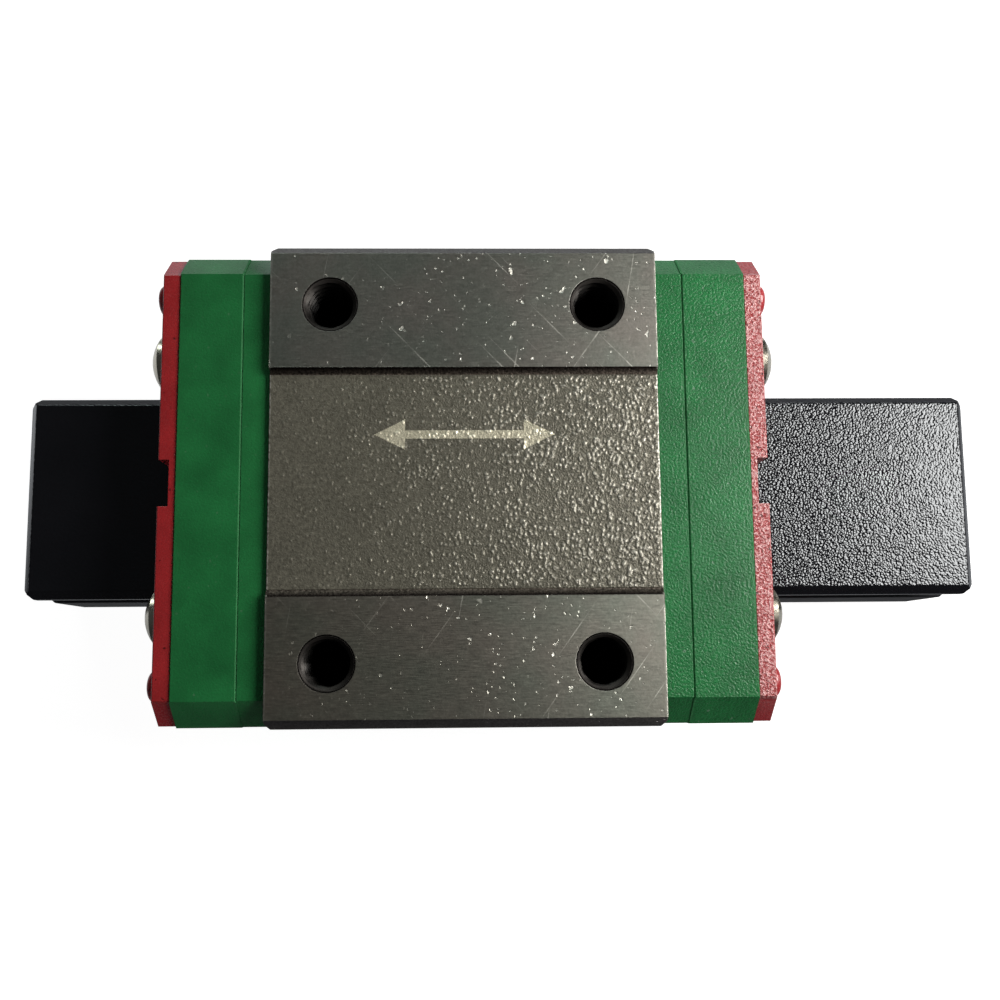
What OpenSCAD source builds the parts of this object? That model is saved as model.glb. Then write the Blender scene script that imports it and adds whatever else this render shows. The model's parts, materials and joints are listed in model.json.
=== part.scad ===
// Miniature linear guide carriage, 12 mm size, on its plastic shipping rail.
// +X runs along the rail, +Y across it and +Z up. The origin is the centre of the rail's base.

/* [Rail] */
// Length of the shipping rail
rail_length = 57; // [54:1:90]
// Width of the rail head and base
rail_width = 12.2; // [12.0:0.05:12.3]
// Height of the rail
rail_height = 8; // [7.9:0.1:8.1]
// Chamfer round the top face of the rail
rail_top_chamfer = 0.48; // [0.2:0.02:0.6]
// Chamfer on the four upright corners of the rail
rail_corner_chamfer = 0.55; // [0.2:0.05:0.8]

/* [Carriage] */
// Rest place of the carriage's centre along the rail
carriage_x = -2.25; // [-6:0.25:6]
// Length of the steel block
steel_length = 21.7; // [21.5:0.1:22]
// Width of the steel block
block_width = 27; // [26.8:0.1:27.2]
// Height of the block's ground top face above the rail base
block_top = 13; // [12.9:0.1:13.2]
// Height of the block's underside above the rail base
block_bottom = 3; // [2.8:0.1:3.2]
// Width of the shallow recess between the two ground bands
recess_width = 12.74; // [12:0.02:13]
// Depth of that recess
recess_depth = 0.25; // [0.1:0.05:0.4]

/* [Mounting holes] */
// Hole spacing along the rail
hole_spacing_x = 15; // [14.8:0.1:15.2]
// Hole spacing across the rail
hole_spacing_y = 20; // [19.8:0.1:20.2]
// Nominal diameter of the tapped holes
hole_d = 3; // [2.5:0.5:3]
// Depth of the tapped holes
hole_depth = 3.5; // [2.5:0.5:4]

/* [Ends] */
// Thickness of the inner recirculation plates
plate_length = 1.55; // [1.5:0.01:1.6]
// Thickness of the end caps
cap_length = 3.6; // [3.6:0.05:3.8]
// Thickness of the end seals
seal_length = 1; // [0.9:0.05:1.2]
// Width of the end caps
cap_width = 26.95; // [26.6:0.05:27]
// Height of the end caps' top above the rail base
cap_top = 12.5; // [12.4:0.05:12.6]
// Height of the end caps' underside above the rail base
cap_bottom = 3.3; // [3.1:0.1:3.5]
// Size of the slope along the end caps' long top edges
cap_slope = 1.5; // [1:0.05:1.6]
// Chamfer along the end caps' top edge next to the inner plates
cap_edge = 0.1; // [0.1:0.02:0.3]

/* [Balls] */
// Diameter of a ball (3/32 inch)
ball_d = 2.381; // [2.38:0.001:2.4]
// Number of balls in each straight row
row_count = 10; // [6:1:10]
// Distance between neighbouring balls in a straight row
ball_pitch = 2.5; // [2.45:0.01:2.5]

/* [Hidden] */
$fn = 64;
eps = 1; // how far a cut runs past the face that it opens

// Ball circuit, measured from the carriage's centre
loaded_y = 6.45;
return_y = 10.2;
ball_z = 5.75;
groove_r = 1.25;
return_r = 1.28;
turn_r = (return_y - loaded_y) / 2;
turn_y = (return_y + loaded_y) / 2;
turn_ball_angle = 40;

// Faces of the stacked end pieces, as distances from the carriage's centre
plate_x = steel_length / 2;
cap_x = plate_x + plate_length;
seal_x = cap_x + cap_length;
outer_x = seal_x + seal_length;

// Opening that the rail runs through in the block, the plates and the caps
opening_half = 6.5;
opening_top = 8.5;
opening_corner = 0.3;

// Edges of the steel block
block_edge = 0.5;
block_foot = 0.35;
block_corner = 0.3;
recess_slope = 0.33;
hole_mouth = 0.06;

// End pieces: how far each outline is set in from the cap's
plate_inset = 0.03;
seal_inset = 0.1;
cap_foot = 0.6;
joint_edge = 0.05; // small chamfer on both sides of the line between cap and seal

// Half-moon return guides and their pockets
guide_height = 3.4;
guide_gap = 0.02;

// Retainer wires
wire_r = 0.25;
wire_y = 4.97;
wire_end_x = seal_x - 0.3;
wire_end_y = 7.05;
wire_bend = 0.6;
wire_slot_height = 0.7;
wire_slot_y = 4.5;
wire_pocket_depth = 0.57;
wire_pocket_y = 7.15;

// Oil supply
oil_r = 1;
oil_z = 10.5;
oil_channel_depth = 0.8;
oil_channel_bottom = 11.2;
oil_channel_top = 12;
oil_drop_y = 10.2;
oil_drop_width = 0.7;
oil_drop_bottom = 6.5;

// End screws, M1.6 pan head
screw_y = 7.35;
screw_z = 10.2;
screw_r = 0.78;
screw_length = 9;
screw_seat_x = outer_x - 0.25;
screw_head_r = 1.6;
screw_head_height = 1.3;
screw_dome_height = 0.6;
screw_recess_width = 0.34;
screw_recess_length = 1.7;
screw_recess_depth = 0.6;
tapped_r = 0.8;
tapped_depth = 3.4;
clearance_r = 0.85;
head_clearance_r = 1.68;

// End seals
seal_gap = 0.08;
seal_edge = 0.06;
notch_width = 2.6;
notch_depth = 0.6;
oil_window_r = 1.15;
boss_y = 11.2;
boss_z = 10.25;
boss_r = 0.95;
boss_height = 0.75;
boss_round = 0.45;

ENDS = ["left", "right"];
SIDES = ["front", "rear"];

// Outline from its right-hand half, given from the bottom up
function mirrored(half) = concat(half, [for (i = [len(half) - 1:-1:0]) [-half[i][0], half[i][1]]]);

// Outline of an end piece, set in from the cap's outline by inset
function end_half(inset) =
    let (half = cap_width / 2 - inset, top = cap_top - inset, low = cap_bottom + inset,
         slope = cap_slope - inset * (2 - sqrt(2)))
    [[half - cap_foot, low], [half, low + cap_foot], [half, top - slope], [half - slope, top]];

// Outline of the rail head, grown by gap, from below the base to the top
function head_half(gap) =
    [[rail_width / 2 + gap, -eps],
     [rail_width / 2 + gap, rail_height - rail_top_chamfer + gap * tan(22.5)],
     [rail_width / 2 - rail_top_chamfer + gap * tan(22.5), rail_height + gap]];

// Draws a cross-section (across, up) from x0 for a length along +X
module along_x(x0, length) {
    translate([x0, 0, 0]) rotate([90, 0, 90]) linear_extrude(length) children();
}

// Round bar along +X
module bar_x(x0, length, y, z, r) {
    translate([x0, y, z]) rotate([0, 90, 0]) cylinder(r = r, h = length);
}

module both_sides() {
    children();
    mirror([0, 1, 0]) children();
}

// Places a piece drawn for the right end, front or rear as named
module at_end(end, side = "rear") {
    translate([carriage_x, 0, 0])
        mirror([end == "left" ? 1 : 0, 0, 0])
            mirror([0, side == "front" ? 1 : 0, 0])
                children();
}

module chamfered_rectangle(length, width, chamfer) {
    x = length / 2;
    y = width / 2;
    polygon([[x - chamfer, -y], [x, chamfer - y], [x, y - chamfer], [x - chamfer, y],
             [chamfer - x, y], [-x, y - chamfer], [-x, chamfer - y], [chamfer - x, -y]]);
}

module rail_opening() {
    polygon(mirrored([[opening_half, -eps], [opening_half, opening_top - opening_corner],
                      [opening_half - opening_corner, opening_top]]));
}

module shipping_rail() {
    end = rail_length / 2;
    color("#1b1b20") difference() {
        intersection() {
            along_x(-end, rail_length)
                polygon(mirrored([[rail_width / 2, 0], head_half(0)[1], head_half(0)[2]]));
            linear_extrude(rail_height) chamfered_rectangle(rail_length, rail_width, rail_corner_chamfer);
            rotate([90, 0, 0]) linear_extrude(rail_width + 2 * eps, center = true)
                polygon(mirrored([[end, 0], [end, rail_height - rail_top_chamfer],
                                  [end - rail_top_chamfer, rail_height]]));
        }
        both_sides() {
            bar_x(-end - eps, rail_length + 2 * eps, loaded_y, ball_z, groove_r);
            translate([-end - eps, wire_slot_y, ball_z - wire_slot_height / 2])
                cube([rail_length + 2 * eps, loaded_y - wire_slot_y, wire_slot_height]);
        }
    }
}

// Cross-section of the steel block, with the recess between its ground bands
module block_section() {
    half = block_width / 2;
    recess = recess_width / 2;
    difference() {
        polygon(mirrored([[half - block_foot, block_bottom], [half, block_bottom + block_foot],
                          [half, block_top - block_edge], [half - block_edge, block_top],
                          [recess, block_top], [recess - recess_slope, block_top - recess_depth]]));
        rail_opening();
    }
}

// Tapped hole from the top face, at its nominal diameter, with a drill point
module mounting_hole() {
    r = hole_d / 2;
    translate([0, 0, block_top - hole_depth]) cylinder(r = r, h = hole_depth + eps);
    translate([0, 0, block_top - hole_mouth])
        cylinder(r1 = r, r2 = r + hole_mouth + eps, h = hole_mouth + eps);
    translate([0, 0, block_top - hole_depth - r / tan(59)]) cylinder(r1 = 0, r2 = r, h = r / tan(59));
}

module block_body() {
    color("#6f6c64") translate([carriage_x, 0, 0]) difference() {
        intersection() {
            along_x(-plate_x, steel_length) block_section();
            linear_extrude(block_top + eps) chamfered_rectangle(steel_length, block_width, block_corner);
        }
        both_sides() {
            bar_x(-plate_x - eps, steel_length + 2 * eps, loaded_y, ball_z, groove_r);
            bar_x(-plate_x - eps, steel_length + 2 * eps, return_y, ball_z, return_r);
            for (x = [-plate_x - eps, plate_x - tapped_depth])
                bar_x(x, tapped_depth + eps, screw_y, screw_z, tapped_r);
            for (x = [-hole_spacing_x / 2, hole_spacing_x / 2])
                translate([x, hole_spacing_y / 2, 0]) mounting_hole();
        }
    }
}

// Green plate next to the steel: it carries both ball passages across to the cap
module inner_plate(end) {
    color("#2a6b43") at_end(end) difference() {
        along_x(plate_x, plate_length) difference() {
            polygon(mirrored(end_half(plate_inset)));
            rail_opening();
        }
        both_sides() {
            bar_x(plate_x - eps, plate_length + 2 * eps, loaded_y, ball_z, return_r);
            bar_x(plate_x - eps, plate_length + 2 * eps, return_y, ball_z, return_r);
            bar_x(plate_x - eps, plate_length + 2 * eps, screw_y, screw_z, clearance_r);
        }
    }
}

// Side view of an end piece with chamfered top edges, drawn across more than its whole width
module top_edges(x0, x1, top, inner_edge, outer_edge) {
    rotate([90, 0, 0]) linear_extrude(cap_width + 2 * eps, center = true)
        polygon([[x0, 0], [x1, 0], [x1, top - outer_edge], [x1 - outer_edge, top],
                 [x0 + inner_edge, top], [x0, top - inner_edge]]);
}

// Turned path that the balls follow from the loaded row to the return hole
module turn_path() {
    translate([cap_x, turn_y, ball_z]) rotate_extrude() translate([turn_r, 0]) circle(r = return_r);
}

// Channels on the cap's inner face that lead oil from the port to both turns
module oil_channels() {
    depth = oil_channel_depth + eps;
    drop = oil_drop_y + oil_drop_width;
    translate([cap_x - eps, -drop, oil_channel_bottom])
        cube([depth, 2 * drop, oil_channel_top - oil_channel_bottom]);
    translate([cap_x - eps, -oil_r, oil_z - oil_r]) cube([depth, 2 * oil_r, oil_channel_top - oil_z + oil_r]);
    both_sides() translate([cap_x - eps, oil_drop_y, oil_drop_bottom])
        cube([depth, oil_drop_width, oil_channel_top - oil_drop_bottom]);
}

module end_cap(end) {
    color("#1f6b3b") at_end(end) difference() {
        intersection() {
            along_x(cap_x, cap_length) difference() {
                polygon(mirrored(end_half(0)));
                rail_opening();
            }
            top_edges(cap_x, seal_x, cap_top, cap_edge, joint_edge);
        }
        oil_channels();
        bar_x(cap_x, cap_length + eps, 0, oil_z, oil_r);
        both_sides() {
            turn_path();
            translate([cap_x, turn_y, ball_z - guide_height / 2]) cylinder(r = turn_r, h = guide_height);
            bar_x(cap_x - eps, cap_length + 2 * eps, screw_y, screw_z, clearance_r);
            translate([seal_x - wire_pocket_depth, opening_half - eps, ball_z - wire_slot_height / 2])
                cube([wire_pocket_depth + eps, wire_pocket_y - opening_half + eps, wire_slot_height]);
        }
    }
}

// Half-moon insert that forms the inner wall of a turn
module return_guide(end, side) {
    r = turn_r - guide_gap;
    height = guide_height - 2 * guide_gap;
    color("#2f7a4c") at_end(end, side) difference() {
        translate([cap_x, turn_y, ball_z - height / 2]) intersection() {
            cylinder(r = r, h = height);
            translate([guide_gap, -turn_r, 0]) cube([turn_r, 2 * turn_r, height]);
        }
        turn_path();
    }
}

// Red wiper that follows the rail's section, with a round boss over each corner
module end_seal(end) {
    color("#9c1f24") at_end(end) {
        difference() {
            intersection() {
                along_x(seal_x, seal_length) difference() {
                    polygon(mirrored(end_half(seal_inset)));
                    seal_opening();
                }
                top_edges(seal_x, outer_x, cap_top - seal_inset, joint_edge, seal_edge);
            }
            translate([outer_x - notch_depth, -notch_width / 2, rail_height])
                cube([notch_depth + eps, notch_width, cap_top]);
            bar_x(seal_x - eps, seal_length + 2 * eps, 0, oil_z, oil_window_r);
            both_sides() {
                bar_x(seal_x - eps, seal_length + 2 * eps, screw_y, screw_z, clearance_r);
                bar_x(screw_seat_x, eps, screw_y, screw_z, head_clearance_r);
            }
        }
        both_sides() seal_boss();
    }
}

// Section of the rail with its clearance, less the tongues that wipe the ball grooves
module seal_opening() {
    difference() {
        polygon(mirrored(head_half(seal_gap)));
        for (y = [-loaded_y, loaded_y]) translate([y, ball_z]) circle(r = groove_r - seal_gap);
    }
}

// Low cylinder with a rounded end
module seal_boss() {
    translate([outer_x, boss_y, boss_z]) rotate([0, 90, 0]) rotate_extrude()
        intersection() {
            union() {
                square([boss_r, boss_height - boss_round]);
                square([boss_r - boss_round, boss_height]);
                translate([boss_r - boss_round, boss_height - boss_round]) circle(r = boss_round);
            }
            square([boss_r, boss_height]);
        }
}

module end_screw(end, side) {
    dome_r = (pow(screw_head_r, 2) + pow(screw_dome_height, 2)) / (2 * screw_dome_height);
    color("#b9b4a8") at_end(end, side) translate([screw_seat_x, screw_y, screw_z]) {
        difference() {
            rotate([0, 90, 0]) rotate_extrude() intersection() {
                square([screw_head_r, screw_head_height]);
                translate([0, screw_head_height - dome_r]) circle(r = dome_r);
            }
            for (turn = [0, 90]) rotate([turn, 0, 0])
                along_x(screw_head_height - screw_recess_depth, screw_recess_depth + eps)
                    square([screw_recess_length, screw_recess_width], center = true);
        }
        bar_x(-screw_length, screw_length, 0, 0, screw_r);
    }
}

// Spring wire in front of the loaded balls, bent out into a pocket at each end
module retainer_wire(side) {
    straight = 2 * (wire_end_x - wire_bend);
    color("#c4c4c0") at_end("right", side) {
        bar_x(-straight / 2, straight, wire_y, ball_z, wire_r);
        for (turn = [0, 1]) mirror([turn, 0, 0]) {
            translate([wire_end_x - wire_bend, wire_y + wire_bend, ball_z]) rotate([0, 0, -90])
                rotate_extrude(angle = 90) translate([wire_bend, 0]) circle(r = wire_r);
            translate([wire_end_x, wire_y + wire_bend, ball_z]) rotate([-90, 0, 0])
                cylinder(r = wire_r, h = wire_end_y - wire_y - wire_bend);
        }
    }
}

// One straight row of balls
module ball_row(side, y) {
    color("#d8d8d4") at_end("right", side)
        for (i = [0:row_count - 1])
            translate([(i - (row_count - 1) / 2) * ball_pitch, y, ball_z]) sphere(d = ball_d);
}

// Two balls on their way round a turn
module turn_balls(end, side) {
    color("#d8d8d4") at_end(end, side)
        for (a = [-turn_ball_angle, turn_ball_angle])
            translate([cap_x + turn_r * cos(a), turn_y + turn_r * sin(a), ball_z]) sphere(d = ball_d);
}

shipping_rail();
block_body();
for (e = ENDS) {
    inner_plate(e);
    end_cap(e);
    end_seal(e);
}
for (e = ENDS, s = SIDES) {
    return_guide(e, s);
    end_screw(e, s);
    turn_balls(e, s);
}
for (s = SIDES) {
    retainer_wire(s);
    ball_row(s, loaded_y);
    ball_row(s, return_y);
}
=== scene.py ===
"""Looks of a miniature linear guide carriage on its shipping rail.

A name that ends in _M is in metres.
"""
from functools import cached_property
import json
import math

import bmesh
import bpy
from mathutils import Euler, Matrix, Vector, noise


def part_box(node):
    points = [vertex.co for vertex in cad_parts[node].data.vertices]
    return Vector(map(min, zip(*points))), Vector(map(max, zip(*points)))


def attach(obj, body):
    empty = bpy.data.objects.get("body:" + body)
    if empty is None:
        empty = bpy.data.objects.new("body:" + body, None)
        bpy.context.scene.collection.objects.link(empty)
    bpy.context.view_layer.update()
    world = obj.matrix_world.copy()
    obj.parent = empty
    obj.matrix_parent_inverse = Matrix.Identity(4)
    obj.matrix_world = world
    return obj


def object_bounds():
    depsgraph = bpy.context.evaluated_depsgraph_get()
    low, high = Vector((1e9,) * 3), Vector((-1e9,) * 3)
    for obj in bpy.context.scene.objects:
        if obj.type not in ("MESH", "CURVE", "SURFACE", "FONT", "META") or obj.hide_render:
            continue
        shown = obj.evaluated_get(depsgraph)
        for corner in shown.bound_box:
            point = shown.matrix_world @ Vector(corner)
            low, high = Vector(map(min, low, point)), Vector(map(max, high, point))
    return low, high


MM = 0.001
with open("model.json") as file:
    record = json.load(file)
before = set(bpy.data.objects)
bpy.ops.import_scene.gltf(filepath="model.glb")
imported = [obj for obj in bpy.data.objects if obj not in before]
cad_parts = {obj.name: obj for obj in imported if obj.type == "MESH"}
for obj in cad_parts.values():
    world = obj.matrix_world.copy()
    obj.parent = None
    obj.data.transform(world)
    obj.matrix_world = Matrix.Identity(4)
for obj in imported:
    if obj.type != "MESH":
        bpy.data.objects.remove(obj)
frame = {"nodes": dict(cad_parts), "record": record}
cad_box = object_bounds()

ENDS = ("left", "right")
SIDES = ("front", "rear")

block_low, block_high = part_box("block_body")
CENTRE_X_MM = (block_low.x + block_high.x) / 2 / MM
BLOCK_HALF_X_MM = (block_high.x - block_low.x) / 2 / MM
BLOCK_HALF_Y_MM = (block_high.y - block_low.y) / 2 / MM
BLOCK_TOP_MM = block_high.z / MM
RECESS_HALF_MM = 6.0
RECESS_FLOOR_MM = 12.75
SEAM_X_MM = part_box("right_end_cap")[0].x / MM - CENTRE_X_MM
SEAL_TOP_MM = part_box("right_end_seal")[1].z / MM
RAIL_TOP_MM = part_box("shipping_rail")[1].z / MM

mounts = {mount["name"]: mount for mount in frame["record"]["mounts"]}
holes = mounts["mounting_holes"]["dims"]
HOLE_X_MM = holes["spacing_x_mm"] / 2
HOLE_Y_MM = holes["spacing_y_mm"] / 2
HOLE_R_MM = holes["hole_r_mm"]


def at_mm(x, y, z):
    """A point measured from the carriage's centre line, in the row frame."""
    return Vector((CENTRE_X_MM + x, y, z)) * MM


# Camera and lights

CAMERA_PLACE_MM = (0.0208, -9.9653, 64.508)
CAMERA_TURN_DEG = (6.3876, -1.1323, -0.4704)
SENSOR_MM = 36
LENS_MM = 34.243
SHIFT_X = 0.0147
SHIFT_Y = 0.0555
NEAREST_M = 0.001
FARTHEST_M = 10


def add_camera():
    data = bpy.data.cameras.new("camera")
    data.sensor_width = SENSOR_MM
    data.lens = LENS_MM
    data.shift_x = SHIFT_X
    data.shift_y = SHIFT_Y
    data.clip_start = NEAREST_M
    data.clip_end = FARTHEST_M
    camera = bpy.data.objects.new("camera", data)
    bpy.context.scene.collection.objects.link(camera)
    camera.location = at_mm(*CAMERA_PLACE_MM)
    camera.rotation_euler = Euler([math.radians(a) for a in CAMERA_TURN_DEG])
    bpy.context.scene.camera = camera


def add_area_light(name, place_mm, size_mm, power, colour):
    """A rectangular light that points at the middle of the carriage."""
    data = bpy.data.lights.new(name, "AREA")
    data.shape = "RECTANGLE"
    data.size = size_mm[0] * MM
    data.size_y = size_mm[1] * MM
    data.energy = power
    data.color = colour
    light = bpy.data.objects.new(name, data)
    bpy.context.scene.collection.objects.link(light)
    light.location = at_mm(*place_mm)
    towards = at_mm(0, 0, RAIL_TOP_MM) - light.location
    light.rotation_euler = towards.to_track_quat("-Z", "Y").to_euler()


# Node trees

class Look:
    """Builds one node tree. An input's value is a number, a colour or another node's output."""

    def __init__(self, name):
        self.material = bpy.data.materials.new(name)
        self.material.use_nodes = True
        self.tree = self.material.node_tree
        self.shader = self.tree.nodes["Principled BSDF"]

    def node(self, kind, inputs=None, output=0, **settings):
        node = self.tree.nodes.new("ShaderNode" + kind)
        for key, value in settings.items():
            setattr(node, key, value)
        for key, value in (inputs or {}).items():
            self.put(node.inputs[key], value)
        return node.outputs[output]

    def put(self, socket, value):
        if isinstance(value, bpy.types.NodeSocket):
            self.tree.links.new(value, socket)
        elif isinstance(value, tuple) and len(value) == 3 and socket.type == "RGBA":
            socket.default_value = (*value, 1)
        else:
            socket.default_value = value

    def set(self, **inputs):
        """Fills the shader's sockets, such as base_color for Base Color."""
        for key, value in inputs.items():
            self.put(self.shader.inputs[key.replace("_", " ").title().replace("Ior", "IOR")], value)
        return self.material

    # Places

    @cached_property
    def object_place(self):
        return self.node("TexCoord", output="Object")

    @cached_property
    def axes_mm(self):
        """x from the carriage's centre line, y and z."""
        counts = (1 / MM, 1 / MM, 1 / MM)
        scaled = self.node("VectorMath", {0: self.object_place, 1: counts}, operation="MULTIPLY")
        parts = self.tree.nodes.new("ShaderNodeSeparateXYZ")
        self.put(parts.inputs[0], scaled)
        return self.math("SUBTRACT", parts.outputs[0], CENTRE_X_MM), parts.outputs[1], parts.outputs[2]

    def places(self, x_mm, y_mm=None, z_mm=None, turn=0, wobble=0.0):
        """Object coordinates, turned about Z by some degrees and counted in cells of the given size."""
        y_mm = y_mm or x_mm
        z_mm = z_mm or y_mm
        place = self.object_place
        if turn:
            inputs = {"Vector": place, "Angle": math.radians(turn)}
            place = self.node("VectorRotate", inputs, rotation_type="Z_AXIS")
        counts = (1 / MM / x_mm, 1 / MM / y_mm, 1 / MM / z_mm)
        place = self.node("VectorMath", {0: place, 1: counts}, operation="MULTIPLY")
        if wobble:
            swirl = self.node("TexNoise", {"Vector": place, "Scale": 2.5, "Detail": 1.0}, "Color")
            reach = (wobble, wobble, wobble)
            shift = self.node("VectorMath", {0: swirl, 1: reach}, operation="MULTIPLY")
            place = self.node("VectorMath", {0: place, 1: shift}, operation="ADD")
        return place

    # Arithmetic

    def math(self, operation, a, b=0.0):
        return self.node("Math", {0: a, 1: b}, operation=operation)

    def product(self, first, *others):
        for other in others:
            first = self.math("MULTIPLY", first, other)
        return first

    def total(self, first, *others):
        for other in others:
            first = self.math("ADD", first, other)
        return first

    def most(self, first, *others):
        for other in others:
            first = self.math("MAXIMUM", first, other)
        return first

    def between(self, value, low, high, to_low=0.0, to_high=1.0):
        """Turns low to high into to_low to to_high, and holds those outside."""
        inputs = {"Value": value, "From Min": low, "From Max": high, "To Min": to_low, "To Max": to_high}
        return self.node("MapRange", inputs)

    def fade(self, share, at_none, at_all):
        """A value that follows a share from 0 to 1."""
        return self.between(share, 0.0, 1.0, at_none, at_all)

    def vary(self, pattern, low, high):
        """Spreads a noise over a range: most of its values lie between 0.3 and 0.7."""
        return self.between(pattern, 0.3, 0.7, low, high)

    # Colours

    def mix(self, factor, a, b):
        return self.node("Mix", {0: factor, 6: a, 7: b}, 2, data_type="RGBA")

    def multiplied(self, factor, colour, tone_and_painted_light):
        """A colour times another one, by a share that may vary."""
        inputs = {0: factor, 6: colour, 7: tone_and_painted_light}
        return self.node("Mix", inputs, 2, data_type="RGBA", blend_type="MULTIPLY")

    def tinted(self, colour, factor):
        """A colour times a grey factor."""
        return self.multiplied(1.0, colour, self.node("CombineColor", {0: factor, 1: factor, 2: factor}))

    # Patterns

    def noise(self, place, detail=2.0, roughness=0.5):
        inputs = {"Vector": place, "Scale": 1.0, "Detail": detail, "Roughness": roughness}
        return self.node("TexNoise", inputs)

    def cells(self, place, output="Distance"):
        return self.node("TexVoronoi", {"Vector": place, "Scale": 1.0}, output)

    def marks(self, place, share, small, large):
        """Spots in about that share of the cells, each with a reach between small and large, in cells."""
        draw = self.node("SeparateColor", {0: self.cells(place, "Color")})
        reach = self.between(draw, 1 - share, 1.0, small, large)
        is_chosen = self.between(draw, 1 - share, 1 - 0.99 * share)
        inside = self.math("SUBTRACT", self.product(reach, is_chosen), self.cells(place))
        return self.between(inside, 0.0, 0.4 * large)

    def specks(self, cell_mm, size_mm, share, turn=0, stretch=1.0):
        """Small marks of uneven size and outline."""
        place = self.places(cell_mm * stretch, cell_mm, cell_mm, turn, wobble=0.6)
        return self.marks(place, share, 0.35 * size_mm / cell_mm, size_mm / cell_mm)

    def scratches(self, turn, length_mm, width_mm, share):
        """Thin straight lines that run along one direction."""
        return self.marks(self.places(length_mm, width_mm, 50, turn), share, 0.3, 0.6)

    def rightward(self, at_left):
        """1 at the carriage's right end, where the light grazes grain and worn marks, and less at its
        left. Colours that follow it are partly painted light.
        """
        return self.between(self.axes_mm[0], -11.0, 9.0, at_left, 1.0)

    def bump(self, height, depth_mm):
        return self.node("Bump", {"Height": height, "Distance": depth_mm * MM, "Strength": 1.0})


# The world seen in reflections: a dim ceiling, a dark horizon and a pale table that darkens to the front.
# A span is where a change starts and ends, along one axis of a direction of length 1.

HORIZON_GLOW = 0.035
CEILING_GLOW = 0.05
CEILING_SPAN = (0.55, 1.0)
TABLE_GLOW = 0.65
TABLE_SPAN = (-0.08, -0.45)
TABLE_FRONT_SHARE = 0.12
TABLE_FRONT_SPAN = (-0.5, 0.35)
WORLD_COLOUR = (0.93, 0.96, 1, 1)


def add_world():
    world = bpy.data.worlds.new("studio")
    world.use_nodes = True
    tree = world.node_tree
    direction = tree.nodes.new("ShaderNodeSeparateXYZ")
    tree.links.new(tree.nodes.new("ShaderNodeTexCoord").outputs["Generated"], direction.inputs[0])

    def ramp(axis, low, high, to_low, to_high):
        """A smooth change along one axis of the direction."""
        spread = tree.nodes.new("ShaderNodeMapRange")
        spread.interpolation_type = "SMOOTHSTEP"
        tree.links.new(direction.outputs[axis], spread.inputs["Value"])
        values = {"From Min": low, "From Max": high, "To Min": to_low, "To Max": to_high}
        for name, value in values.items():
            spread.inputs[name].default_value = value
        return spread.outputs[0]

    def combine(operation, a, b):
        node = tree.nodes.new("ShaderNodeMath")
        node.operation = operation
        tree.links.new(a, node.inputs[0])
        tree.links.new(b, node.inputs[1])
        return node.outputs[0]

    ceiling = ramp("Z", *CEILING_SPAN, HORIZON_GLOW, CEILING_GLOW)
    table = ramp("Z", *TABLE_SPAN, 0.0, TABLE_GLOW)
    table = combine("MULTIPLY", table, ramp("Y", *TABLE_FRONT_SPAN, TABLE_FRONT_SHARE, 1.0))
    background = tree.nodes["Background"]
    background.inputs["Color"].default_value = WORLD_COLOUR
    tree.links.new(combine("ADD", ceiling, table), background.inputs["Strength"])
    bpy.context.scene.world = world


# Floor, backdrop and the whole stage

FLOOR_HALF_M = 1.5
FLOOR_GAP_MM = 0.02
BACKDROP_RADIUS_M = 1.4
STAGE_GREY = 0.3
STAGE_GLOW = 0.97


def add_stage_piece(name, mesh, material):
    """A piece of the stage, which isn't seen in reflections."""
    piece = bpy.data.objects.new(name, mesh)
    bpy.context.scene.collection.objects.link(piece)
    mesh.materials.append(material)
    piece.visible_glossy = False
    return piece


def add_floor(material):
    signs = ((-1, -1), (1, -1), (1, 1), (-1, 1))
    corners = [(x * FLOOR_HALF_M, y * FLOOR_HALF_M, 0) for x, y in signs]
    mesh = bpy.data.meshes.new("floor")
    mesh.from_pydata(corners, [], [(0, 1, 2, 3)])
    floor = add_stage_piece("floor", mesh, material)
    floor.location.z = cad_box[0].z - FLOOR_GAP_MM * MM


def add_backdrop(material):
    """A pale dome behind the floor's edge. It gives no light and no shadow."""
    build = bmesh.new()
    bmesh.ops.create_uvsphere(build, u_segments=48, v_segments=24, radius=BACKDROP_RADIUS_M)
    mesh = bpy.data.meshes.new("backdrop")
    build.to_mesh(mesh)
    build.free()
    backdrop = add_stage_piece("backdrop", mesh, material)
    backdrop.visible_diffuse = False
    backdrop.visible_transmission = False
    backdrop.visible_shadow = False


def add_stage():
    grey = (STAGE_GREY, STAGE_GREY, STAGE_GREY)
    glow = (1.0, 1.0, 1.0)
    white = Look("stage_white")
    white.set(base_color=grey, roughness=1.0, emission_color=glow, emission_strength=STAGE_GLOW)
    add_floor(white.material)
    add_backdrop(white.material)
    add_world()
    bpy.context.scene.view_settings.view_transform = "Standard"
    add_area_light("key", place_mm=(80, 17, 72), size_mm=(52, 60), power=0.17, colour=(1.0, 0.98, 0.95))
    add_area_light("fill", place_mm=(-30, 150, 70), size_mm=(120, 50), power=0.073,
                   colour=(0.88, 1.0, 0.97))


# Steel block and the etched floor of its recess.
# A pair of places is where a change of finish starts and ends.

PALE_EDGE = (0.8, 0.78, 0.7)
WORN_STEEL_AND_GLINT = (0.85, 0.83, 0.74)
BORE_PAINTED_SHADE = (0.01, 0.009, 0.008)
SLOPE_END_MM = 7.0
FRONT_BAND_MM = (-7.0, -5.0)
HOLE_RIM_MM = (HOLE_R_MM + 0.06, HOLE_R_MM + 0.08)
HOLE_DARK_FROM_MM = (8.0, 8.5)


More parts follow.
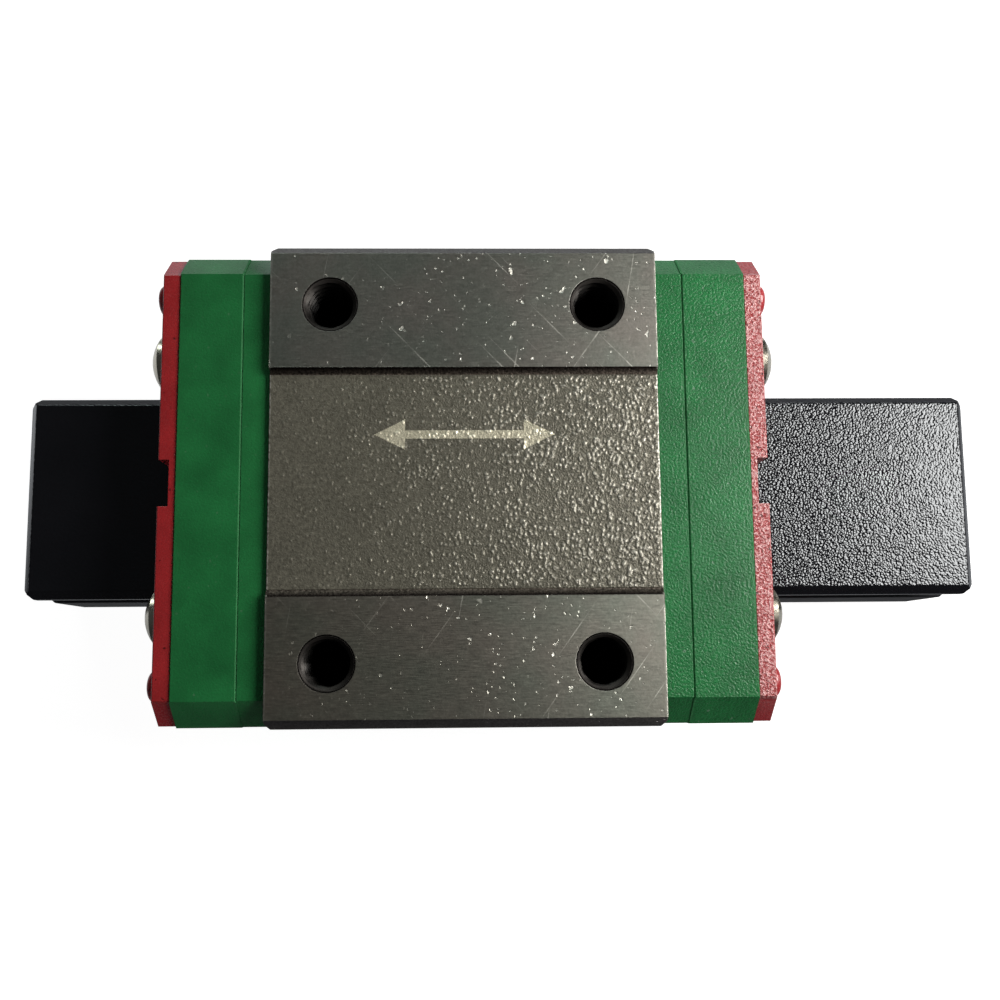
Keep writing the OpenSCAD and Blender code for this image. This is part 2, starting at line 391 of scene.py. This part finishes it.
def block_wear_and_glints(look):
    """Dents alone, and dents with scratches, from 0 to 1, stronger to the right, where their pale colour
    is partly painted glints.
    """
    patches = look.between(look.noise(look.places(3.5), 1.0), 0.36, 0.56, 0.45, 1.0)
    dents = look.most(
        look.specks(0.6, 0.11, 0.5),
        look.specks(0.8, 0.12, 0.45, turn=-65, stretch=1.8),
        look.specks(1.3, 0.16, 0.6, turn=-50, stretch=1.4),
        look.product(look.specks(0.33, 0.08, 0.6, turn=20), look.rightward(0.1)),
    )
    dents = look.product(dents, patches, look.rightward(0.35))
    lines = look.most(
        look.scratches(-54, 4.5, 0.08, 0.016),
        look.scratches(-80, 3.2, 0.07, 0.008),
        look.scratches(46, 4.5, 0.08, 0.014),
    )
    strength = look.between(look.noise(look.places(0.8), 2.0), 0.4, 0.6, 0.12, 0.5)
    lines = look.product(lines, strength, look.rightward(0.3))
    return dents, look.most(dents, lines)


def ground_colour(look, off_x, streaks, mottle):
    """Ground steel, darker at the middle; the front band is tinted warm and darker at the left and
    brighter to the right, part real tone and part painted light.
    """
    drift = look.noise(look.places(3.5), 3.0)
    colour = look.mix(look.between(drift, 0.35, 0.65), (0.262, 0.275, 0.238), (0.3, 0.282, 0.25))
    colour = look.tinted(colour, look.vary(streaks, 0.96, 1.04))
    colour = look.tinted(colour, look.vary(mottle, 0.9, 1.1))
    colour = look.tinted(colour, look.between(off_x, 0.0, 8.0, 0.86, 1.0))
    # Painted light: the front band's tint is a warm, darker real tone at the left and brightens the steel
    # towards the right end.
    tone_and_painted_light = look.mix(look.rightward(0.0), (0.93, 0.88, 0.82), (1.08, 1.09, 1.06))
    on_front_band = look.between(look.axes_mm[1], *FRONT_BAND_MM, 1.0, 0.0)
    return look.multiplied(on_front_band, colour, tone_and_painted_light)


def near_holes(look, off_x, off_y, z):
    """1 in the four mounting holes and on their rims."""
    across = look.math("SUBTRACT", off_x, HOLE_X_MM)
    along = look.math("SUBTRACT", off_y, HOLE_Y_MM)
    off_axis = look.math("SQRT", look.total(look.product(across, across), look.product(along, along)))
    in_rim = look.between(off_axis, *HOLE_RIM_MM, 1.0, 0.0)
    return look.product(in_rim, look.between(z, *HOLE_DARK_FROM_MM))


def block_steel():
    """Ground bands and sides with dents and scratches; the chamfers stay raw, the recess's slopes are raw
    with painted shade beside the bands, and the bores are painted shade.
    """
    look = Look("ground_steel")
    x, y, z = look.axes_mm
    off_x = look.math("ABSOLUTE", x)
    off_y = look.math("ABSOLUTE", y)
    streaks = look.noise(look.places(6.0, 0.09, 0.09), 3.0, 0.7)
    fine = look.noise(look.places(0.7, 0.05, 0.05), 1.0)
    mottle = look.noise(look.places(0.15), 2.0)
    grit = look.noise(look.places(0.13), 2.0, 0.6)
    dents, wear_and_glints = block_wear_and_glints(look)

    lip = look.product(look.between(off_x, BLOCK_HALF_X_MM - 0.14, BLOCK_HALF_X_MM - 0.03),
                       look.between(look.noise(look.places(0.3), 2.0), 0.35, 0.6, 0.3, 1.0))
    on_top = look.most(look.between(z, BLOCK_TOP_MM - 0.01, BLOCK_TOP_MM - 0.002),
                       look.product(lip, look.between(z, BLOCK_TOP_MM - 0.1, BLOCK_TOP_MM - 0.06)))
    on_side = look.between(off_y, BLOCK_HALF_Y_MM - 0.01, BLOCK_HALF_Y_MM - 0.002)
    in_recess = look.between(off_y, SLOPE_END_MM - 0.1, SLOPE_END_MM + 0.1, 1.0, 0.0)
    is_ground = look.most(on_top, on_side)

    wear_and_glints = look.product(wear_and_glints, look.fade(on_side, 1.0, 0.35))
    # Worn marks are paled: partly worn metal, partly painted glints that crowd to the right.
    ground = look.mix(wear_and_glints, ground_colour(look, off_x, streaks, mottle), WORN_STEEL_AND_GLINT)
    ground = look.mix(look.product(lip, 0.5), ground, PALE_EDGE)
    raw = look.mix(look.noise(look.places(0.5), 3.0), (0.12, 0.11, 0.11), (0.2, 0.19, 0.19))
    raw = look.tinted(raw, look.vary(grit, 0.75, 1.25))
    # The slopes are dark raw steel, darkening to near black next to the band as painted shade under the
    # step's edge.
    slope_height = look.between(z, RECESS_FLOOR_MM, BLOCK_TOP_MM - 0.03)
    slope = look.mix(slope_height, (0.09, 0.075, 0.062), (0.012, 0.009, 0.008))
    slope = look.tinted(slope, look.between(grit, 0.35, 0.65, 0.5, 1.5))
    colour = look.mix(is_ground, look.mix(in_recess, raw, slope), ground)
    # Painted shade: the bores and their rims are coloured near black.
    colour = look.mix(near_holes(look, off_x, off_y, z), colour, BORE_PAINTED_SHADE)

    rough = look.total(look.fade(is_ground, 0.16, 0.0), look.vary(fine, 0.36, 0.46))
    height = look.total(
        look.product(fine, 0.06),
        look.product(streaks, 0.03),
        look.product(mottle, 0.3),
        look.product(look.fade(on_top, 3.0, 0.0), in_recess, grit),
        look.product(dents, -3.0),
    )
    metal = look.product(look.fade(look.product(wear_and_glints, on_top), 1.0, 0.25), look.fade(on_side, 1.0, 0.5))
    return look.set(base_color=colour, metallic=metal, roughness=rough, normal=look.bump(height, 0.012))


def recess_steel(name, pale, dark, peak):
    """Etched floor: dull between the grains, pale on their tips as worn metal and painted highlight, with
    painted shade darkening it to the right.
    """
    look = Look(name)
    x, _, z = look.axes_mm
    blotch = look.noise(look.places(2.5), 3.0)
    grain = look.noise(look.places(0.11), 2.0, 0.6)
    mottle = look.noise(look.places(0.2), 3.0, 0.65)
    colour = look.mix(look.vary(mottle, 0.0, 1.0), dark, pale)
    colour = look.tinted(colour, look.vary(blotch, 0.92, 1.06))
    # Painted shade: the floor darkens towards the right end, where the grains' dark sides show.
    colour = look.tinted(colour, look.between(x, -11.0, 9.0, 1.02, 0.68))
    tips = look.between(z, RECESS_FLOOR_MM + 0.012, RECESS_FLOOR_MM + 0.035)
    # Painted highlight: the pale tips grow stronger to the right, where the light grazes.
    tips = look.product(tips, look.rightward(0.4), look.between(grain, 0.35, 0.5))
    colour = look.mix(tips, colour, peak)
    at_end = look.between(look.math("ABSOLUTE", x), BLOCK_HALF_X_MM - 0.12, BLOCK_HALF_X_MM - 0.05)
    lip = look.product(at_end, look.between(mottle, 0.4, 0.6, 0.1, 0.7))
    colour = look.mix(lip, colour, PALE_EDGE)
    rough = look.between(grain, 0.35, 0.65, 0.48, 0.34)
    height = look.product(grain, look.rightward(0.45))
    return look.set(base_color=colour, metallic=0.6, roughness=rough, normal=look.bump(height, 0.05))


# Plastic, rubber and the small bright parts

def moulded_plastic(name, colour, gloss, glint_share):
    """Satin plastic with a fine grain, faint clouding, pale pinpoints painted as glints, the grain's light
    and shade painted into the colour more strongly to the right, and a dull chamfer at the seam.
    """
    look = Look(name)
    near = look.rightward(0.35)
    cloud = look.noise(look.places(2.4), 3.0)
    grain = look.noise(look.places(0.13), 2.0, 0.6)
    # Painted glints: pale pinpoints in patches, crowding to the right.
    points = look.product(look.specks(0.35, 0.09, 0.5), look.between(cloud, 0.42, 0.62), near)
    # Painted light and shade of the grain, stronger to the right where the light grazes.
    spread = look.product(look.math("SUBTRACT", look.vary(grain, 0.0, 1.0), 0.5), near)
    shade = look.product(look.vary(cloud, 0.82, 1.18), look.between(spread, -0.5, 0.5, 0.76, 1.24))
    pale = tuple(0.6 * c + 0.18 for c in colour)
    base = look.mix(look.product(points, glint_share), look.tinted(colour, shade), pale)
    off_x = look.math("ABSOLUTE", look.axes_mm[0])
    seam = look.product(look.between(off_x, SEAM_X_MM - 0.03, SEAM_X_MM - 0.01),
                        look.between(off_x, SEAM_X_MM + 0.1, SEAM_X_MM + 0.12, 1.0, 0.0))
    rough = look.total(look.vary(grain, gloss + 0.06, gloss - 0.06), look.product(seam, 0.4))
    height = look.product(grain, near)
    return look.set(base_color=base, roughness=rough, ior=1.365, normal=look.bump(height, 0.04))


def seal_rubber():
    """Red rubber, grained on the narrow strip that faces up and smoother on the slopes and outer faces,
    with painted glints on the strip, painted shade in its pits and a little painted shade on the slopes
    and outer faces.
    """
    look = Look("seal_rubber")
    z = look.axes_mm[2]
    level = look.between(z, SEAL_TOP_MM - 0.2, SEAL_TOP_MM - 0.02, 0.25, 1.0)
    cloud = look.noise(look.places(1.6), 2.0)
    grain = look.noise(look.places(0.13), 2.0, 0.6)
    pits = look.specks(0.4, 0.12, 0.4)
    # Painted shade: the pits are darkened.
    shade = look.product(look.vary(cloud, 0.88, 1.12), look.fade(pits, 1.0, 0.3))
    # Painted shade: the slopes and outer faces are a little darker than the top strip.
    colour = look.tinted(look.mix(level, (0.26, 0.013, 0.018), (0.285, 0.016, 0.018)), shade)
    # Painted glints: pale pink on the grain's peaks along the top strip, growing to the right.
    painted_glints = look.product(look.between(grain, 0.44, 0.58), look.rightward(0.0), level, 0.45)
    painted_glints = look.product(painted_glints, look.between(z, SEAL_TOP_MM - 1.4, SEAL_TOP_MM - 0.4, 0.3, 1.0))
    colour = look.mix(painted_glints, colour, (0.85, 0.55, 0.54))
    height = look.math("SUBTRACT", grain, look.product(pits, 0.5))
    height = look.product(height, look.rightward(0.12), level)
    rough = look.between(grain, 0.35, 0.6, 0.36, 0.16)
    return look.set(base_color=colour, roughness=rough, ior=1.62, normal=look.bump(height, 0.13))


def rail_plastic():
    """Black plastic with a glossy pebbled top and satin sides."""
    look = Look("rail_plastic")
    x, _, z = look.axes_mm
    cloud = look.noise(look.places(3.0), 3.0)
    ripple = look.noise(look.places(0.15), 1.0)
    pebbles = look.math("SUBTRACT", look.product(ripple, 0.6), look.cells(look.places(0.14)))
    swell = look.noise(look.places(0.7), 2.0)
    top = look.between(z, RAIL_TOP_MM - 0.1, RAIL_TOP_MM - 0.01, 0.1, 1.0)
    near = look.product(look.between(x, -9.0, 9.0, 0.35, 1.0), look.between(x, 18.0, 30.0, 1.0, 0.55))
    height = look.product(look.total(pebbles, look.product(swell, 0.5)), top, near)
    colour = look.mix(cloud, (0.0035, 0.0035, 0.0045), (0.007, 0.007, 0.009))
    below = look.between(z, RAIL_TOP_MM - 0.8, RAIL_TOP_MM - 0.6, 0.4, 0.0)
    rough = look.total(look.vary(cloud, 0.1, 0.14), below)
    return look.set(base_color=colour, roughness=rough, ior=1.52, specular_tint=(0.93, 0.97, 1.0),
                    normal=look.bump(height, 0.05))


def bright_metal(name, tone, gloss, haze_mm):
    """Polished, plated or drawn metal with a faint haze in patches of the given size."""
    look = Look(name)
    haze = look.noise(look.places(*haze_mm), 2.0)
    colour = look.tinted(tone, look.vary(haze, 0.9, 1.06))
    rough = look.vary(haze, gloss, gloss + 0.1)
    return look.set(base_color=colour, metallic=1.0, roughness=rough, normal=look.bump(haze, 0.0015))


def dress(node, material):
    slots = frame["nodes"][node].data.materials
    slots.clear()
    slots.append(material)


def dress_nodes():
    plate = moulded_plastic("plate_plastic", (0.013, 0.12, 0.034), gloss=0.31, glint_share=0.5)
    cap = moulded_plastic("cap_plastic", (0.012, 0.118, 0.033), gloss=0.32, glint_share=0.6)
    guide = moulded_plastic("guide_plastic", (0.03, 0.2, 0.07), gloss=0.5, glint_share=0.3)
    seal = seal_rubber()
    nickel = bright_metal("screw_nickel", (0.66, 0.61, 0.5), 0.22, (0.3, 0.3, 0.3))
    wire = bright_metal("wire_steel", (0.7, 0.7, 0.68), 0.24, (2.0, 0.05, 0.05))
    ball = bright_metal("ball_steel", (0.8, 0.8, 0.78), 0.05, (0.8, 0.8, 0.8))
    dress("shipping_rail", rail_plastic())
    dress("block_body", block_steel())
    for end in ENDS:
        dress(f"{end}_inner_plate", plate)
        dress(f"{end}_end_cap", cap)
        dress(f"{end}_end_seal", seal)
        for side in SIDES:
            dress(f"{end}_{side}_return_guide", guide)
            dress(f"{end}_{side}_end_screw", nickel)
            dress(f"{end}_{side}_turn_balls", ball)
    for side in SIDES:
        dress(f"{side}_retainer_wire", wire)
        dress(f"{side}_loaded_balls", ball)
        dress(f"{side}_return_balls", ball)


# Rounded edges on the CAD pieces

WELD_MM = 0.002
FLAT_DEG = 0.5
EDGE_DEG = 25


def soften(node, width_mm):
    piece = frame["nodes"][node]
    weld = piece.modifiers.new("weld", "WELD")
    weld.merge_threshold = WELD_MM * MM
    flat = piece.modifiers.new("flat", "DECIMATE")
    flat.decimate_type = "DISSOLVE"
    flat.angle_limit = math.radians(FLAT_DEG)
    bevel = piece.modifiers.new("bevel", "BEVEL")
    bevel.width = width_mm * MM
    bevel.segments = 2
    bevel.limit_method = "ANGLE"
    bevel.angle_limit = math.radians(EDGE_DEG)
    bevel.harden_normals = True
    bevel.miter_outer = "MITER_ARC"


def soften_nodes():
    soften("block_body", 0.08)
    soften("shipping_rail", 0.08)
    for end in ENDS:
        soften(f"{end}_inner_plate", 0.04)
        soften(f"{end}_end_cap", 0.14)
        soften(f"{end}_end_seal", 0.07)


def add_piece(name, mesh, materials):
    """A visual piece that rides on the carriage."""
    piece = bpy.data.objects.new(name, mesh)
    bpy.context.scene.collection.objects.link(piece)
    for material in materials:
        mesh.materials.append(material)
    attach(piece, "carriage")


# Etched floor of the recess: a thin slab whose top is a field of worn grains, with an arrow marked on it

SLAB_CELL_MM = 0.052
SLAB_BOTTOM_MM = 12.7
SLAB_MARGIN_MM = 0.02
SLAB_FADE_MM = 0.15
BED_HEIGHT_MM = 0.004
GRAIN_HEIGHT_MM = 0.05
GRAIN_SPACING_MM = 0.2
GRAIN_STRETCH = 1.25
GRAIN_SHARE = 0.58
GRAIN_SHARE_PER_MM = 0.037
GRAIN_REACH = 0.36
GRAIN_MOST_GROWTH = 0.8
GRAIN_RISE = 0.81
GRAIN_RISE_PER_MM = 0.024
GRAIN_SEED = 31.7
PATCH_MM = 1.2
PATCH_DEPTH = 0.3
PATCH_SEED = 9.0
ARROW_LENGTH_MM = 10.0
ARROW_HEAD_MM = 1.7
ARROW_WIDTH_MM = 1.7
ARROW_SHAFT_MM = 0.45
ARROW_Y_MM = 2.6


def grain_height(x, y, edge):
    """Height of the slab above the recess floor, at a distance of edge from its border.

    A share of the cells holds a grain. Grains crowd and grow to the right, and sink towards the border.
    """
    distances, points = noise.voronoi(Vector((x, y / GRAIN_STRETCH, 0.0)) / GRAIN_SPACING_MM)
    chance = 0.5 + 0.5 * noise.cell(points[0] * GRAIN_SEED)
    patches = noise.noise(Vector((x, y, PATCH_SEED)) / PATCH_MM)
    share = GRAIN_SHARE + GRAIN_SHARE_PER_MM * x + PATCH_DEPTH * patches
    if chance >= share:
        return BED_HEIGHT_MM
    reach = GRAIN_REACH + GRAIN_REACH * min(share - chance, GRAIN_MOST_GROWTH)
    dome = max(1.0 - (distances[0] / reach) ** 2, 0.0)
    rise = GRAIN_RISE + GRAIN_RISE_PER_MM * x
    return BED_HEIGHT_MM + GRAIN_HEIGHT_MM * rise * dome * min(edge / SLAB_FADE_MM, 1.0)


def in_arrow(x, y):
    """True on a double-headed arrow that shows the way the carriage runs."""
    along = ARROW_LENGTH_MM / 2 - abs(x)
    across = abs(y - ARROW_Y_MM)
    in_head = 0 <= along <= ARROW_HEAD_MM and across <= ARROW_WIDTH_MM / 2 * along / ARROW_HEAD_MM
    return in_head or (along > ARROW_HEAD_MM and across <= ARROW_SHAFT_MM / 2)


def add_recess_grain(materials):
    """The slab, with the floor's material first and the mark's second."""
    half_x = BLOCK_HALF_X_MM - SLAB_MARGIN_MM
    half_y = RECESS_HALF_MM
    columns = round(2 * half_x / SLAB_CELL_MM)
    rows = round(2 * half_y / SLAB_CELL_MM)
    build = bmesh.new()
    top = []
    for j in range(rows + 1):
        y = -half_y + 2 * half_y * j / rows
        line = []
        for i in range(columns + 1):
            x = -half_x + 2 * half_x * i / columns
            edge = min(half_x - abs(x), half_y - abs(y))
            line.append(build.verts.new(at_mm(x, y, RECESS_FLOOR_MM + grain_height(x, y, edge))))
        top.append(line)
    for j in range(rows):
        for i in range(columns):
            face = build.faces.new((top[j][i], top[j][i + 1], top[j + 1][i + 1], top[j + 1][i]))
            centre = face.calc_center_median() / MM
            face.material_index = int(in_arrow(centre.x - CENTRE_X_MM, centre.y))
            face.smooth = True
    border = top[0] + [line[-1] for line in top[1:]]
    border += top[-1][-2::-1] + [line[0] for line in top[-2:0:-1]]
    low = [build.verts.new((v.co.x, v.co.y, SLAB_BOTTOM_MM * MM)) for v in border]
    for k in range(len(border)):
        n = (k + 1) % len(border)
        build.faces.new((border[k], low[k], low[n], border[n]))
    build.faces.new(low[::-1])
    mesh = bpy.data.meshes.new("recess_grain")
    build.to_mesh(mesh)
    build.free()
    add_piece("recess_grain", mesh, materials)


# Threads in the four mounting holes

THREAD_PITCH_MM = 0.5
THREAD_CREST_MM = 1.24
THREAD_ROOT_MM = 1.48
THREAD_BOTTOM_MM = 9.5
THREAD_TOP_MM = 12.95
THREAD_FIT_MM = 0.001
LEAD_IN_DEPTH_MM = 0.24
FLANK_SLOPE = 3.2
CREST_FLAT = 0.3
THREAD_STEPS = 72
THREAD_STEP_MM = 0.05
THREAD_SHARP_DEG = 35


def thread_radius(turn, z):
    """Inner radius of the thread at a share of a turn and a height."""
    phase = ((z / THREAD_PITCH_MM) - turn) % 1.0
    tooth = min(max(abs(phase - 0.5) * FLANK_SLOPE - CREST_FLAT, 0.0), 1.0)
    depth = THREAD_ROOT_MM - THREAD_CREST_MM
    helix = THREAD_CREST_MM + depth * tooth
    lead_in = THREAD_ROOT_MM - (THREAD_TOP_MM - z) / LEAD_IN_DEPTH_MM * depth
    return max(helix, lead_in)


def thread_steel():
    """Oiled thread darkened with painted shade, darker still with depth, and a little paler at its mouth.
    """
    look = Look("oiled_thread_painted_shade")
    z = look.axes_mm[2]
    film = look.noise(look.places(0.5), 2.0)
    bore = look.mix(film, (0.009, 0.008, 0.007), (0.02, 0.018, 0.016))
    # Painted shade: the bore darkens with depth.
    bore = look.tinted(bore, look.between(z, THREAD_TOP_MM - 1.95, THREAD_TOP_MM - 0.25, 0.12, 1.0))
    mouth = look.between(z, THREAD_TOP_MM - 0.25, THREAD_TOP_MM - 0.21)
    colour = look.mix(mouth, bore, (0.036, 0.032, 0.029))
    rough = look.total(look.vary(film, 0.35, 0.5), look.product(mouth, 0.15))
    return look.set(base_color=colour, metallic=0.8, roughness=rough, normal=look.bump(film, 0.01))


def add_thread(name, x, y, material):
    """A sleeve in the bore: two plain rings outside, then the thread's rings from the bottom up."""
    length = THREAD_TOP_MM - THREAD_BOTTOM_MM
    count = round(length / THREAD_STEP_MM)
    heights = [THREAD_BOTTOM_MM + length * k / count for k in range(count + 1)]
    rings = []
    for z in (heights[-1], heights[0]):
        rings.append([(HOLE_R_MM - THREAD_FIT_MM, z)] * THREAD_STEPS)
    for z in heights:
        rings.append([(thread_radius(s / THREAD_STEPS, z), z) for s in range(THREAD_STEPS)])
    build = bmesh.new()
    loops = []
    for ring in rings:
        loop = []
        for s, (r, z) in enumerate(ring):
            a = 2 * math.pi * s / THREAD_STEPS
            loop.append(build.verts.new(at_mm(x + r * math.cos(a), y + r * math.sin(a), z)))
        loops.append(loop)
    for k, loop in enumerate(loops):
        following = loops[(k + 1) % len(loops)]
        for s in range(THREAD_STEPS):
            n = (s + 1) % THREAD_STEPS
            build.faces.new((loop[s], following[s], following[n], loop[n])).smooth = True
    bmesh.ops.recalc_face_normals(build, faces=build.faces)
    mesh = bpy.data.meshes.new(name)
    build.to_mesh(mesh)
    build.free()
    mesh.set_sharp_from_angle(angle=math.radians(THREAD_SHARP_DEG))
    add_piece(name, mesh, [material])


def add_threads():
    thread = thread_steel()
    for end, x in zip(ENDS, (-HOLE_X_MM, HOLE_X_MM)):
        for side, y in zip(SIDES, (-HOLE_Y_MM, HOLE_Y_MM)):
            add_thread(f"{end}_{side}_thread", x, y, thread)


add_camera()
add_stage()
dress_nodes()
soften_nodes()
etched = recess_steel("etched_steel", pale=(0.225, 0.212, 0.165), dark=(0.115, 0.108, 0.083),
                      peak=(0.34, 0.325, 0.275))
mark = recess_steel("laser_mark", pale=(0.75, 0.7, 0.53), dark=(0.55, 0.51, 0.38), peak=(0.9, 0.86, 0.7))
add_recess_grain([etched, mark])
add_threads()
